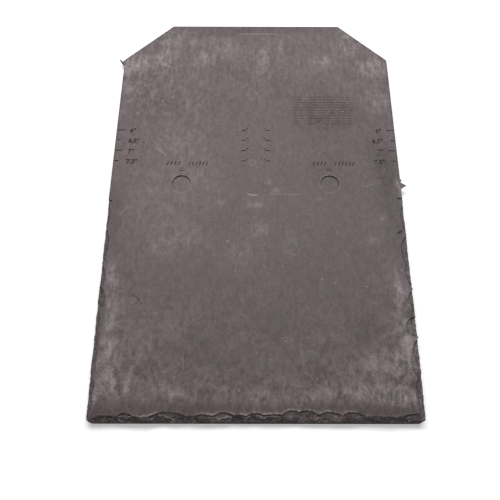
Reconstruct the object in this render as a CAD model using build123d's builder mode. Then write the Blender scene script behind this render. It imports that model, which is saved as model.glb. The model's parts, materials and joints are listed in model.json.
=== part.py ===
"""Synthetic slate roof tile: one moulded wedge with a ribbed underside and a chipped, slate-like edge."""

import os
from math import atan2, degrees

from build123d import *

# Wedge, in millimetres: thick at the butt, which shows on the roof, and thin at the head
length = 445
width = 305
butt_thickness = 12
head_thickness = 5

# Clipped head corners and the mould's small rounds
clip_width = 54
clip_length = 49.5
clip_round = 2
butt_corner_round = 6.5
edge_round = 0.7

# Ribbed underside
face_wall = 2.6
side_skirt = 8
butt_skirt = 14
rib_thickness = 2
rib_count = 7
cross_rib_count = 5
rib_draft = 1

# Nail seats in the face, each over a solid boss
nail_spacing = 156
nail_from_head = 210
nail_seat_radius = 10
nail_seat_depth = 1.5
nail_boss_radius = 14

# Gauge grooves at both side edges, long at each whole step and short at each half step
gauge_from_head = 145
gauge_pitch = 12.7
gauge_count = 4
gauge_long = 9
gauge_short = 6
groove_width = 1.5
groove_depth = 0.9

# Centring marks: a dash and a dot each side of the centre line, in the gauge rows
centre_dash_inset = 10.5
centre_dash_length = 5
centre_dot_inset = 9.4
centre_dot_rise = 2.1
centre_dot_side = 1.4

# Chipped edge: it starts at a notch in each side and runs round the butt
chipped_from_head = 227.5
notch_length = 4.5
notch_depth = 1.1
chip_draft = 25
upper_reach = 11.1
upper_riser = 1.2
upper_slope = 20
middle_reach = 7
middle_riser = 3.2
middle_slope = 40
toe_count = 19
toe_chord = 15
toe_reach = 3.4
toe_riser = 6.6
butt_toe = 0.8
side_reach = 8
side_riser = 0.8
side_fall = 8

# Shallow chips along the butt from the left corner: place and chord by the width, reach by upper_reach
upper_chip_shares = (
    (0.119, 0.051, 0.79),
    (0.243, 0.146, 0.88),
    (0.349, 0.104, 0.73),
    (0.408, 0.090, 0.85),
    (0.457, 0.062, 0.67),
    (0.501, 0.090, 0.76),
    (0.554, 0.140, 0.75),
    (0.611, 0.087, 1.00),
    (0.650, 0.113, 1.00),
    (0.718, 0.115, 0.90),
    (0.784, 0.096, 0.87),
    (0.964, 0.100, 0.79),
)

# Steeper chips under them: place and chord by the width, reach by middle_reach
middle_chip_shares = (
    (0.014, 0.044, 0.62),
    (0.049, 0.034, 0.87),
    (0.075, 0.053, 0.91),
    (0.105, 0.040, 0.71),
    (0.146, 0.051, 0.81),
    (0.174, 0.046, 0.71),
    (0.226, 0.075, 0.83),
    (0.292, 0.053, 0.80),
    (0.313, 0.043, 0.96),
    (0.341, 0.056, 0.69),
    (0.375, 0.046, 0.73),
    (0.420, 0.046, 0.80),
    (0.446, 0.036, 0.96),
    (0.466, 0.036, 0.71),
    (0.498, 0.056, 0.89),
    (0.549, 0.066, 0.86),
    (0.607, 0.062, 0.80),
    (0.652, 0.059, 0.74),
    (0.698, 0.049, 0.80),
    (0.741, 0.053, 0.66),
    (0.774, 0.033, 0.64),
    (0.810, 0.053, 0.79),
    (0.851, 0.074, 0.96),
    (0.890, 0.062, 0.87),
    (0.923, 0.053, 0.87),
    (0.954, 0.046, 0.71),
    (0.985, 0.044, 0.55),
)

# Steepest chips at the toe, repeated along it: reach by toe_reach
toe_reach_shares = (0.86, 1.00, 0.72, 0.94, 0.80)

# Chips up each side from the butt: place and chord by the chipped length, reach by side_reach, and depth
# at the edge by side_fall
right_chip_shares = (
    (0.060, 0.100, 0.88, 0.56),
    (0.133, 0.125, 0.85, 0.45),
    (0.250, 0.175, 1.00, 0.38),
    (0.395, 0.075, 1.20, 0.34),
    (0.452, 0.060, 0.40, 0.25),
    (0.515, 0.075, 0.56, 0.25),
    (0.634, 0.125, 0.60, 0.22),
    (0.735, 0.160, 0.80, 0.20),
    (0.905, 0.150, 0.40, 0.18),
)
left_chip_shares = (
    (0.065, 0.110, 0.80, 1.00),
    (0.138, 0.100, 0.76, 0.95),
    (0.250, 0.150, 0.78, 0.80),
    (0.340, 0.090, 0.66, 0.70),
    (0.416, 0.090, 0.65, 0.65),
    (0.515, 0.115, 0.90, 0.55),
    (0.616, 0.115, 0.62, 0.50),
    (0.766, 0.190, 0.58, 0.42),
    (0.920, 0.120, 0.38, 0.35),
)

# Slivers of flash left by the mould's parting line: a barb at the right edge, and at the left shoulder a web
# that ends in a thorn
flash_reach = 6.3
flash_thickness = 0.8
right_flash_from_head = 211
right_flash_base = 9
right_flash_nub = 3.5
right_flash_nub_reach = 2
thorn_from_head = 47
thorn_drop = 9
web_reach = 2.7
web_drop = 1.3
web_rise = 2.2

# How far a cut runs past the surface it opens
overrun = 8

# Places worked out from the sizes
butt_y = -length / 2
head_y = length / 2
side_x = width / 2
chipped_length = length - chipped_from_head
nail_y = head_y - nail_from_head
taper_rise = butt_thickness - head_thickness
toe_pitch = width / toe_count
toe_fall = butt_thickness - butt_toe

# The sloping face and the three chipped edges, each with X along the edge and Y into the tile
face = Plane(origin=(0, butt_y, butt_thickness), x_dir=(1, 0, 0), z_dir=(0, taper_rise, length))
butt_edge = Plane(origin=(-side_x, butt_y, butt_thickness), x_dir=face.x_dir, z_dir=face.z_dir)
right_edge = Plane(origin=(side_x, butt_y, butt_thickness), x_dir=face.y_dir, z_dir=face.z_dir)
left_edge = Plane(origin=(-side_x, butt_y, butt_thickness), x_dir=-face.y_dir, z_dir=face.z_dir)


def face_height(y):
    """Height of the sloping face above the underside."""
    return head_thickness + taper_rise * (head_y - y) / length


def slope(riser, fall, reach):
    """Angle of a chip's floor that goes from its riser's depth to its fall at the edge."""
    return degrees(atan2(fall - riser, reach))


def wedge(lowered):
    """Sketch and extrude the tile's tapered side profile, with its face lowered."""
    with BuildSketch(Plane.YZ) as profile:
        with BuildLine():
            Polyline(
                (butt_y, 0),
                (head_y, 0),
                (head_y, head_thickness - lowered),
                (butt_y, butt_thickness - lowered),
                close=True,
            )
        make_face()
    extrude(profile.sketch, amount=side_x, both=True)


def chip(edge, along, chord, reach, riser, angle):
    """Cut one flake scar: an arched riser that leans back, then a floor that falls away to the edge."""
    radius = (chord * chord / 4 + reach * reach) / (2 * reach)
    apex = edge.location * Location((along, reach, -riser), (angle, 0, 0))
    floor = Plane(apex * Location((0, -radius, 0)))
    with BuildSketch(floor) as scar:
        Circle(radius)
    extrude(scar.sketch, amount=butt_thickness, dir=edge.z_dir, taper=-chip_draft, mode=Mode.SUBTRACT)


# Outline seen from above, with clipped head corners
with BuildSketch() as outline:
    with BuildLine():
        Polyline(
            (-side_x, butt_y),
            (side_x, butt_y),
            (side_x, head_y - clip_length),
            (side_x - clip_width, head_y),
            (clip_width - side_x, head_y),
            (-side_x, head_y - clip_length),
            close=True,
        )
    make_face()
    fillet(outline.vertices().group_by(Axis.Y)[0], butt_corner_round)
    fillet(outline.vertices().group_by(Axis.Y)[-2] + outline.vertices().group_by(Axis.Y)[-1], clip_round)

# Cells between the ribs, as deep as the face wall allows
with BuildPart() as cells:
    wedge(face_wall)
    with BuildSketch():
        offset(outline.sketch, amount=-side_skirt)
        with Locations((0, butt_y)):
            Rectangle(width, 2 * butt_skirt, mode=Mode.SUBTRACT)
        with GridLocations((width - 2 * side_skirt) / (rib_count + 1), 0, rib_count, 1):
            Rectangle(rib_thickness, length, mode=Mode.SUBTRACT)
        with Locations((0, (butt_skirt - side_skirt) / 2)):
            with GridLocations(
                0, (length - butt_skirt - side_skirt) / (cross_rib_count + 1), 1, cross_rib_count
            ):
                Rectangle(width, rib_thickness, mode=Mode.SUBTRACT)
        with Locations((0, nail_y)):
            with GridLocations(nail_spacing, 0, 2, 1):
                Circle(nail_boss_radius, mode=Mode.SUBTRACT)
    extrude(amount=butt_thickness, taper=rib_draft, mode=Mode.INTERSECT)

with BuildPart() as slate_tile:
    # Wedge trimmed to the outline, with the mould's round along the face's rim
    wedge(0)
    add(outline.sketch)
    extrude(amount=butt_thickness, mode=Mode.INTERSECT)
    fillet(slate_tile.faces().sort_by(Axis.Z)[-1].edges(), edge_round)

    # Chipped edges
    for place, chord, reach in upper_chip_shares:
        chip(butt_edge, place * width, chord * width, reach * upper_reach, upper_riser, upper_slope)
    for place, chord, reach in middle_chip_shares:
        chip(butt_edge, place * width, chord * width, reach * middle_reach, middle_riser, middle_slope)
    for i in range(toe_count):
        reach = toe_reach_shares[i % len(toe_reach_shares)] * toe_reach
        chip(butt_edge, (i + 1 / 2) * toe_pitch, toe_chord, reach, toe_riser, slope(toe_riser, toe_fall, reach))
    for edge, heading, shares in ((right_edge, 1, right_chip_shares), (left_edge, -1, left_chip_shares)):
        for place, chord, reach_share, fall in shares:
            along = heading * place * chipped_length
            reach = reach_share * side_reach
            angle = slope(side_riser, fall * side_fall, reach)
            chip(edge, along, chord * chipped_length, reach, side_riser, angle)

    # Nail seats
    with BuildSketch(Plane.XY.offset(face_height(nail_y) - nail_seat_depth)):
        with Locations((0, nail_y)):
            with GridLocations(nail_spacing, 0, 2, 1):
                Circle(nail_seat_radius)
    extrude(amount=overrun, mode=Mode.SUBTRACT)

    # Gauge grooves and centring marks
    with BuildSketch(face):
        for row in range(gauge_count):
            from_butt = length - gauge_from_head - row * gauge_pitch
            reach = gauge_short if row % 2 else gauge_long
            with Locations((-side_x, from_butt), (side_x, from_butt)):
                Rectangle(2 * reach, groove_width)
            for side in (-1, 1):
                with Locations((side * (centre_dash_inset + centre_dash_length / 2), from_butt)):
                    Rectangle(centre_dash_length, groove_width)
                with Locations((side * centre_dot_inset, from_butt + centre_dot_rise)):
                    Rectangle(centre_dot_side, centre_dot_side, rotation=45)
    extrude(amount=-groove_depth, mode=Mode.SUBTRACT)

    # Notches where the chipped edge starts
    with BuildSketch(face):
        with Locations((-side_x, chipped_length), (side_x, chipped_length)):
            Rectangle(2 * notch_length, groove_width)
    extrude(amount=-notch_depth, mode=Mode.SUBTRACT)

    # Ribbed underside
    add(cells.part, mode=Mode.SUBTRACT)

    # Flash
    right_flash_y = head_y - right_flash_from_head
    thorn_y = head_y - thorn_from_head
    with BuildSketch():
        with BuildLine():
            Polyline(
                (side_x - side_skirt, right_flash_y - right_flash_base),
                (side_x, right_flash_y - right_flash_base / 2),
                (side_x + flash_reach, right_flash_y),
                (side_x, right_flash_y + right_flash_base / 2),
                (side_x + right_flash_nub_reach, right_flash_y + right_flash_base / 2 + right_flash_nub / 2),
                (side_x, right_flash_y + right_flash_base / 2 + right_flash_nub),
                (side_x - side_skirt, right_flash_y + right_flash_base),
                close=True,
            )
        make_face()
        with BuildLine():
            Polyline(
                (side_skirt - side_x, thorn_y - thorn_drop),
                (-side_x, thorn_y - thorn_drop),
                (-side_x - flash_reach, thorn_y),
                (-side_x - web_reach, thorn_y - web_drop),
                (-side_x, thorn_y + web_rise),
                (side_skirt - side_x, thorn_y + web_rise),
                close=True,
            )
        make_face()
    extrude(amount=flash_thickness)

slate_tile.part.label = "slate_tile"

os.makedirs("parts", exist_ok=True)
export_step(slate_tile.part, "parts/slate_tile.step")
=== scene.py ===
# %% [markdown]
# # A synthetic slate roof tile
# The tile is one moulding of mineral-filled plastic, cast from a real slate. Its weathered face is nearly
# flat, its butt and lower sides are chipped like hand-dressed slate, and its underside is ribbed.
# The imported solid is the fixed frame, and everything below is made around it, in metres.

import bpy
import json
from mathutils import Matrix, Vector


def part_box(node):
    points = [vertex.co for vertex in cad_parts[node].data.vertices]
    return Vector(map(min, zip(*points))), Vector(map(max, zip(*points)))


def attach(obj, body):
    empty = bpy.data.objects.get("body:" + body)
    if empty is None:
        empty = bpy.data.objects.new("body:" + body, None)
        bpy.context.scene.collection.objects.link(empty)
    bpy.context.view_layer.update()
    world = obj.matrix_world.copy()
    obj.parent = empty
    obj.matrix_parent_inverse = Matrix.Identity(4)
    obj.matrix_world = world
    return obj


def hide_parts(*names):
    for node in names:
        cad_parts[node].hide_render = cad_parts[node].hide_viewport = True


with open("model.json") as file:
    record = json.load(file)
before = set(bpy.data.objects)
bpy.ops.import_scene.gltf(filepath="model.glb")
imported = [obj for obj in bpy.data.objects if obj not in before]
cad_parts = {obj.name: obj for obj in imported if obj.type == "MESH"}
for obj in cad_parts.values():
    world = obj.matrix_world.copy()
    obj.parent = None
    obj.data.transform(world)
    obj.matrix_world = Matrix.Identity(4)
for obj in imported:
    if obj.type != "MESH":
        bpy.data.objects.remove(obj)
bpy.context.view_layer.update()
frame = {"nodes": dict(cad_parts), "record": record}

# %% Tools used by the cells
import json
import math

import bmesh
import bpy
import numpy as np
from mathutils import Matrix, Vector
from mathutils.bvhtree import BVHTree
from mathutils.geometry import delaunay_2d_cdt
from mathutils.kdtree import KDTree

MM = 0.001
scene = bpy.context.scene
scene.view_settings.view_transform = "Standard"

# %% [markdown]
# ## Sizes
# The solid gives the length and the box. The few sizes that its box can't tell, because two slivers of flash
# stand proud of the sides, are repeated here.

# %% Sizes of the tile
low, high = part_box("slate_tile")
BUTT_Y = low.y
HEAD_Y = high.y
LENGTH = HEAD_Y - BUTT_Y
SIDE_X = 152.5 * MM
BUTT_THICKNESS = 12 * MM
HEAD_THICKNESS = 5 * MM
CLIP_WIDTH = 54 * MM
CLIP_LENGTH = 49.5 * MM
CLIP_ROUND = 2 * MM
BUTT_ROUND = 6.5 * MM
RIM_ROUND = 0.7 * MM
CHIPPED_Y = HEAD_Y - 227.5 * MM
FACE_FALL = (BUTT_THICKNESS - HEAD_THICKNESS) / LENGTH


def face_height(y):
    """Height of the sloping face over the underside."""
    return BUTT_THICKNESS - FACE_FALL * (y - BUTT_Y)


print("tile:", round(LENGTH / MM, 1), "mm long,", round(2 * SIDE_X / MM, 1), "mm wide")

# %% [markdown]
# ## Camera
# The tile lies flat and is seen from in front of its butt, steeply from above. The lens, place and turn were
# worked out from the tile's own corners and gauge marks, and the small shift sets the tile where it stands
# in the frame.

# %% Camera
FRAME_PX = 500
FOCAL_PX = 507.3
CENTRE_PX = (255.2, 224.9)
CAMERA_PLACE = (-1.19 * MM, -214.84 * MM, 492.11 * MM)
CAMERA_PITCH = 69.47
CAMERA_YAW = 0.264
CAMERA_ROLL = 0.363
SENSOR_MM = 36
NEAREST_SEEN = 10 * MM


def new_object(name, data):
    """An object that shows its data, linked into the scene."""
    made = bpy.data.objects.new(name, data)
    scene.collection.objects.link(made)
    return made


camera_data = bpy.data.cameras.new("camera")
camera_data.sensor_width = SENSOR_MM
camera_data.lens = FOCAL_PX / FRAME_PX * SENSOR_MM
camera_data.shift_x = (FRAME_PX / 2 - CENTRE_PX[0]) / FRAME_PX
camera_data.shift_y = (CENTRE_PX[1] - FRAME_PX / 2) / FRAME_PX
camera_data.clip_start = NEAREST_SEEN
camera = new_object("camera", camera_data)
camera.matrix_world = (
    Matrix.Translation(CAMERA_PLACE)
    @ Matrix.Rotation(-math.radians(CAMERA_YAW), 4, "Z")
    @ Matrix.Rotation(math.radians(90 - CAMERA_PITCH), 4, "X")
    @ Matrix.Rotation(math.radians(CAMERA_ROLL), 4, "Z")
)
scene.camera = camera
print("camera:", round(camera_data.lens, 2), "mm lens")

# %% [markdown]
# ## Plan of the tile
# Seen from above the tile is a hexagon with rounded corners. Its edge is walked in short strides where it is
# chipped and in longer ones where the mould left it clean, because only the chipped part needs fine faces.

# %% Outline of the tile
FINE_STRIDE = 0.7 * MM
PLAIN_STRIDE = 1.8 * MM
FINE_MARGIN = 2 * MM
LAST_STRIDE_SHARE = 1.5
FEWEST_STEPS = 3
INSET_PARTS = 60


def corner_round(before, corner, after, radius):
    """Points of a rounded corner, from one tangent point to the other, turning left."""
    back = (before - corner).normalized()
    ahead = (after - corner).normalized()
    half = back.angle(ahead) / 2
    centre = corner + (back + ahead).normalized() * (radius / math.sin(half))
    spoke = corner + back * (radius / math.tan(half)) - centre
    turn = math.pi - 2 * half
    count = max(FEWEST_STEPS, math.ceil(turn * radius / FINE_STRIDE))
    return [centre + Matrix.Rotation(turn * i / count, 2) @ spoke for i in range(count + 1)]


def strides(start, end):
    """Points from start on towards end, without the end itself."""
    heading = (end - start).normalized()
    points = [start]
    while True:
        stride = FINE_STRIDE if points[-1].y < CHIPPED_Y + FINE_MARGIN else PLAIN_STRIDE
        if (end - points[-1]).length < LAST_STRIDE_SHARE * stride:
            return points
        points.append(points[-1] + heading * stride)


corners = [
    (Vector((-SIDE_X, BUTT_Y)), BUTT_ROUND),
    (Vector((SIDE_X, BUTT_Y)), BUTT_ROUND),
    (Vector((SIDE_X, HEAD_Y - CLIP_LENGTH)), CLIP_ROUND),
    (Vector((SIDE_X - CLIP_WIDTH, HEAD_Y)), CLIP_ROUND),
    (Vector((CLIP_WIDTH - SIDE_X, HEAD_Y)), CLIP_ROUND),
    (Vector((-SIDE_X, HEAD_Y - CLIP_LENGTH)), CLIP_ROUND),
]
rounds = [
    corner_round(corners[i - 1][0], corner, corners[(i + 1) % len(corners)][0], radius)
    for i, (corner, radius) in enumerate(corners)
]
ring = []
for i, arc in enumerate(rounds):
    ring += arc[:-1] + strides(arc[-1], rounds[(i + 1) % len(rounds)][0])
ring = np.array(ring)
ring_edge = np.roll(ring, -1, axis=0) - ring
ring_inward = np.stack([-ring_edge[:, 1], ring_edge[:, 0]], axis=1)
ring_inward /= np.linalg.norm(ring_inward, axis=1)[:, None]


def inset(points):
    """How far each point lies inside the outline, which is convex: the nearest of its edge lines."""
    reach = np.einsum("ij,ij->i", ring, ring_inward)
    parts = np.array_split(points, INSET_PARTS)
    return np.concatenate([(part @ ring_inward.T - reach).min(axis=1) for part in parts])


print("outline:", len(ring), "points")

# %% [markdown]
# ## Heights from the solid
# The chips were cut in the solid, so the looks take their heights from it: a ray dropped from above finds
# each point's height, and the solid's own sharp edges become edges of the new skin, which keeps every
# chip's lip crisp.

# %% Read the solid
MERGE_GAP = 0.002 * MM
DROP_FROM = 50 * MM
DOWN = Vector((0, 0, -1))
solid = bmesh.new()
solid.from_mesh(frame["nodes"]["slate_tile"].data)
bmesh.ops.remove_doubles(solid, verts=solid.verts, dist=MERGE_GAP)
solid.normal_update()
solid.verts.index_update()
solid_tree = BVHTree.FromBMesh(solid)


def solid_height(x, y):
    """Height of the solid under a point, or none past its edge."""
    hit = solid_tree.ray_cast(Vector((x, y, DROP_FROM)), DOWN)[0]
    return hit.z if hit else None


LIP_ANGLE = math.radians(9)
LIP_INSET = 0.3 * MM
LIP_MARGIN = 2 * MM
LIP_UPWARD = 0.08
lip_points = []
lip_edges = []
lip_index = {}


def lip_point(vertex):
    """Index of a solid's vertex among the lip points."""
    if vertex.index not in lip_index:
        lip_index[vertex.index] = len(lip_points)
        lip_points.append(vertex.co.copy())
    return lip_index[vertex.index]


solid_inset = inset(np.array([vertex.co.xy for vertex in solid.verts]))
for edge in solid.edges:
    faces = edge.link_faces
    if len(faces) != 2 or min(face.normal.z for face in faces) < LIP_UPWARD:
        continue
    if edge.calc_face_angle() < LIP_ANGLE or max(v.co.y for v in edge.verts) > CHIPPED_Y - LIP_MARGIN:
        continue
    if min(solid_inset[v.index] for v in edge.verts) < LIP_INSET:
        continue
    count = max(1, math.ceil(edge.calc_length() / FINE_STRIDE))
    ends = [lip_point(v) for v in edge.verts]
    between = list(range(len(lip_points), len(lip_points) + count - 1))
    lip_points += [edge.verts[0].co.lerp(edge.verts[1].co, (i + 1) / count) for i in range(count - 1)]
    chain = [ends[0]] + between + [ends[1]]
    lip_edges += list(zip(chain[:-1], chain[1:]))
print("lips:", len(lip_points), "points along the solid's sharp edges")

# %% [markdown]
# ## Skin of the weathered face
# A triangulated skin is spread over the plan: fine near the chipped edges, coarser over the face. The points
# are set in a staggered grid and nudged a little, so that no regular pattern shows in the relief.

# %% Triangulate the face
SPACINGS = (0.75 * MM, 1.2 * MM, 1.9 * MM)
BUTT_BAND = 13 * MM
SIDE_BAND = 10.5 * MM
MIDDLE_BAND = 4 * MM
NUDGE = 0.22
EDGE_CLEAR_SHARE = 0.55
LIP_CLEAR_SHARE = 0.45
SKIN_SEED = 7
INSIDE_ONLY = 1
SNAP = 1e-5
draw = np.random.default_rng(SKIN_SEED)


def staggered(spacing):
    """A nudged grid of points over the tile, with each second row set over by half."""
    rows = np.arange(BUTT_Y, HEAD_Y, spacing * math.sqrt(3) / 2)
    columns = np.arange(-SIDE_X, SIDE_X, spacing)
    x = columns[None, :] + (np.arange(len(rows)) % 2)[:, None] * spacing / 2
    y = np.repeat(rows[:, None], len(columns), axis=1)
    points = np.stack([x.ravel(), y.ravel()], axis=1)
    return points + draw.uniform(-NUDGE, NUDGE, points.shape) * spacing


def past_chips(points):
    """How far each point lies behind the chipped band, below zero inside it."""
    from_butt = points[:, 1] - BUTT_Y - BUTT_BAND
    from_side = np.maximum(SIDE_X - np.abs(points[:, 0]) - SIDE_BAND, points[:, 1] - CHIPPED_Y)
    return np.minimum(from_butt, from_side)


def band(points):
    """0 in the chipped band, 1 in the strip behind it and 2 over the rest of the face."""
    behind = past_chips(points)
    return np.where(behind < 0, 0, np.where(behind < MIDDLE_BAND, 1, 2))


def triangulate(plan, edges):
    """Points, triangles and each point's places in the plan, inside the outline that starts the plan."""
    outline = [list(range(len(ring)))]
    points, _, triangles, sources, _, _ = delaunay_2d_cdt(plan, edges, outline, INSIDE_ONLY, SNAP)
    return points, triangles, sources


lip_tree = KDTree(len(lip_points))
for i, point in enumerate(lip_points):
    lip_tree.insert((point.x, point.y, 0), i)
lip_tree.balance()

scatter = []
for level, spacing in enumerate(SPACINGS):
    grid = staggered(spacing)
    grid = grid[band(grid) == level]
    grid = grid[inset(grid) > EDGE_CLEAR_SHARE * spacing]
    if level == 0:
        grid = grid[[lip_tree.find((x, y, 0))[2] > LIP_CLEAR_SHARE * spacing for x, y in grid]]
    scatter.append(grid)
scatter = np.concatenate(scatter)

plan = [Vector(point / MM) for point in ring]
plan += [point.xy / MM for point in lip_points]
plan += [Vector(point / MM) for point in scatter]
loop = [(i, (i + 1) % len(ring)) for i in range(len(ring))]
inner = [(a + len(ring), b + len(ring)) for a, b in lip_edges]
flat_points, triangles, sources = triangulate(plan, loop + inner)
skin_plan = np.array(flat_points) * MM
skin_faces = [tuple(face) for face in triangles]
skin_source = [min(source) if source else -1 for source in sources]
print("face:", len(skin_plan), "points,", len(skin_faces), "triangles")

# %% Lift the face to its heights
EDGE_STEP = 0.05 * MM
HEIGHT_MARGIN = 1 * MM
CHIP_FADE = 5 * MM


def rise(values, start, end):
    """0 up to the start, 1 past the end, even between."""
    return np.clip((values - start) / (end - start), 0, 1)


def chip_fade(y):
    """1 along the chipped part of the edge, fading to 0 at its upper end."""
    return rise(CHIPPED_Y - y, 0, CHIP_FADE)


skin_inset = inset(skin_plan)
skin_band = band(skin_plan)
rim = 1 - rise(skin_inset, 0, RIM_ROUND)
heights = face_height(skin_plan[:, 1]) - RIM_ROUND * (1 - np.sqrt(1 - rim**2))
for i, source in enumerate(skin_source):
    if len(ring) <= source < len(ring) + len(lip_points):
        heights[i] = lip_points[source - len(ring)].z
    elif skin_band[i] == 0 and skin_plan[i, 1] < CHIPPED_Y - HEIGHT_MARGIN:
        x, y = skin_plan[i]
        if 0 <= source < len(ring):
            x, y = skin_plan[i] + ring_inward[source] * EDGE_STEP
        found = solid_height(x, y)
        if found is not None:
            heights[i] = found
chip_depth = face_height(skin_plan[:, 1]) - heights

# The first step down from the face is low, so the floors of the chips are lifted a little
RISER_EASE = 0.4 * MM
EASED_DEPTH = 1.2 * MM
eased = RISER_EASE * rise(chip_depth, 0, EASED_DEPTH) * (skin_band == 0) * chip_fade(skin_plan[:, 1])
heights += eased
chip_depth -= eased
print("chips: up to", round(chip_depth.max() / MM, 2), "mm deep")

# %% [markdown]
# ## Walls and underside
# The edge wall drops from the skin to the ground in a few rows, so that it can be made rough. The cells of
# the ribbed underside come from the solid as they are, and one flat triangulated face joins them to the wall.

# %% Wall rows
WALL_ROWS = 5
ring_of = {source: i for i, source in enumerate(skin_source) if 0 <= source < len(ring)}
wall_top = [ring_of[i] for i in range(len(ring))]
points = [tuple(skin_plan[i]) + (heights[i],) for i in range(len(skin_plan))]
faces = list(skin_faces)
row = wall_top
for step in range(1, WALL_ROWS + 1):
    share = 1 - step / WALL_ROWS
    below = list(range(len(points), len(points) + len(ring)))
    points += [(ring[i][0], ring[i][1], heights[wall_top[i]] * share) for i in range(len(ring))]
    for i in range(len(ring)):
        j = (i + 1) % len(ring)
        faces.append((row[j], row[i], below[i], below[j]))
    row = below
ground_ring = row
print("wall:", WALL_ROWS, "rows of", len(ring), "points")

# %% Ribbed underside
CELL_INSET = 7.5 * MM
CELL_COVER = 1.5 * MM
ON_GROUND = 0.01 * MM
CELL_UPWARD = 0.1
cell_index = {}


def cell_point(vertex):
    """Index of a solid's vertex among the new points."""
    if vertex.index not in cell_index:
        cell_index[vertex.index] = len(points)
        points.append(tuple(vertex.co))
    return cell_index[vertex.index]


def is_cell(face):
    """Whether a face of the solid is a wall or the ceiling of a cell."""
    inside = min(solid_inset[vertex.index] for vertex in face.verts) > CELL_INSET
    covered = all(vertex.co.z < face_height(vertex.co.y) - CELL_COVER for vertex in face.verts)
    grounded = all(vertex.co.z < ON_GROUND for vertex in face.verts)
    return inside and covered and not grounded and face.normal.z < CELL_UPWARD


for face in solid.faces:
    if is_cell(face):
        faces.append(tuple(cell_point(vertex) for vertex in face.verts))

mouth = []
for edge in solid.edges:
    a, b = edge.verts
    if a.index in cell_index and b.index in cell_index and max(a.co.z, b.co.z) < ON_GROUND:
        mouth.append((cell_index[a.index], cell_index[b.index]))
ground = ground_ring + sorted({i for edge in mouth for i in edge})
place = {index: i for i, index in enumerate(ground)}
mouth_edges = [(place[a], place[b]) for a, b in mouth]
_, triangles, sources = triangulate([Vector(points[i][:2]) / MM for i in ground], loop + mouth_edges)
UP = Vector((0, 0, 1))
for face in triangles:
    corners_of = [ground[min(sources[i])] for i in face]
    middle = sum((Vector(points[i]) for i in corners_of), Vector()) / len(face)
    hit = solid_tree.ray_cast(middle - UP * DROP_FROM, UP)[0]
    if hit and hit.z < ON_GROUND:
        faces.append(tuple(reversed(corners_of)))
print("underside:", len(cell_index), "points in its cells")

# %% Assemble the skin
tile_mesh = bpy.data.meshes.new("slate_skin")
tile_mesh.from_pydata(points, [], faces)
tile_mesh.validate()
check = bmesh.new()
check.from_mesh(tile_mesh)
bmesh.ops.recalc_face_normals(check, faces=check.faces)
open_edges = sum(len(edge.link_faces) != 2 for edge in check.edges)
check.to_mesh(tile_mesh)
check.free()
tile = new_object("slate_skin", tile_mesh)
print("skin:", len(points), "points,", len(faces), "faces,", open_edges, "open edges")

# %% [markdown]
# ## Helpers for node trees
# Geometry Nodes and shaders are both node trees, so the same helpers serve both: one starts a tree with its
# named inputs, one adds a node and links or sets its inputs, and the rest are short names for common nodes.

# %% Node helpers
SOCKETS = {
    "geometry": "NodeSocketGeometry",
    "value": "NodeSocketFloat",
    "count": "NodeSocketInt",
    "vector": "NodeSocketVector",
}


def new_tree(name, kind, inputs, outputs):
    """A node group with named inputs, each given as its kind and default, and named outputs."""
    tree = bpy.data.node_groups.new(name, kind)
    for label, (socket, default) in inputs.items():
        made = tree.interface.new_socket(label, in_out="INPUT", socket_type=SOCKETS[socket])
        if default is not None:
            made.default_value = default
    for label, socket in outputs.items():
        tree.interface.new_socket(label, in_out="OUTPUT", socket_type=SOCKETS[socket])
    return tree, tree.nodes.new("NodeGroupInput").outputs, tree.nodes.new("NodeGroupOutput").inputs


def add(tree, kind, inputs=None, **settings):
    """Add a node; each of its inputs is a value or another node's output."""
    made = tree.nodes.new(kind)
    for label, setting in settings.items():
        setattr(made, label, setting)
    for label, value in (inputs or {}).items():
        if isinstance(value, bpy.types.NodeSocket):
            tree.links.new(value, made.inputs[label])
        else:
            made.inputs[label].default_value = value
    return made


def sums(tree, operation, *values):
    """The result of a math node."""
    return add(tree, "ShaderNodeMath", dict(enumerate(values)), operation=operation).outputs[0]


def vectors(tree, operation, *values):
    """The vector result of a vector math node."""
    return add(tree, "ShaderNodeVectorMath", dict(enumerate(values)), operation=operation).outputs[0]


def scaled(tree, vector, amount):
    """A vector made longer or shorter by an amount."""
    return add(tree, "ShaderNodeVectorMath", {0: vector, "Scale": amount}, operation="SCALE").outputs[0]


def measured(tree, operation, first, second):
    """A number that two vectors give, such as their distance."""
    made = add(tree, "ShaderNodeVectorMath", {0: first, 1: second}, operation=operation)
    return made.outputs["Value"]


def joined(tree, **parts):
    """A vector put together from its X, Y and Z."""
    return add(tree, "ShaderNodeCombineXYZ", parts).outputs[0]


def ramp(tree, value, start, end, low=0.0, high=1.0):
    """A value eased from low at the start to high at the end."""
    settings = {"Value": value, "From Min": start, "From Max": end, "To Min": low, "To Max": high}
    made = add(tree, "ShaderNodeMapRange", settings, interpolation_type="SMOOTHSTEP")
    return made.outputs["Result"]


def noise(tree, place, size, detail=2.0, roughness=0.5, output=0):
    """Noise whose lumps are about as large as the size."""
    settings = {"Vector": place, "Scale": 1 / size, "Detail": detail, "Roughness": roughness}
    return add(tree, "ShaderNodeTexNoise", settings).outputs[output]


def run_nodes(piece, tree):
    """Put a piece's mesh through a geometry tree, at the sizes the tree was given, and keep the result."""
    modifier = piece.modifiers.new(tree.name, "NODES")
    modifier.node_group = tree
    return keep_result(piece)


def keep_result(piece):
    """Swap a piece's mesh for what its modifiers make of it, and drop the modifiers."""
    depsgraph = bpy.context.evaluated_depsgraph_get()
    made = bpy.data.meshes.new_from_object(piece.evaluated_get(depsgraph))
    old = piece.data
    piece.modifiers.clear()
    piece.data = made
    bpy.data.meshes.remove(old)
    return made


slate = bpy.data.materials.new("slate_composite")


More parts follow.
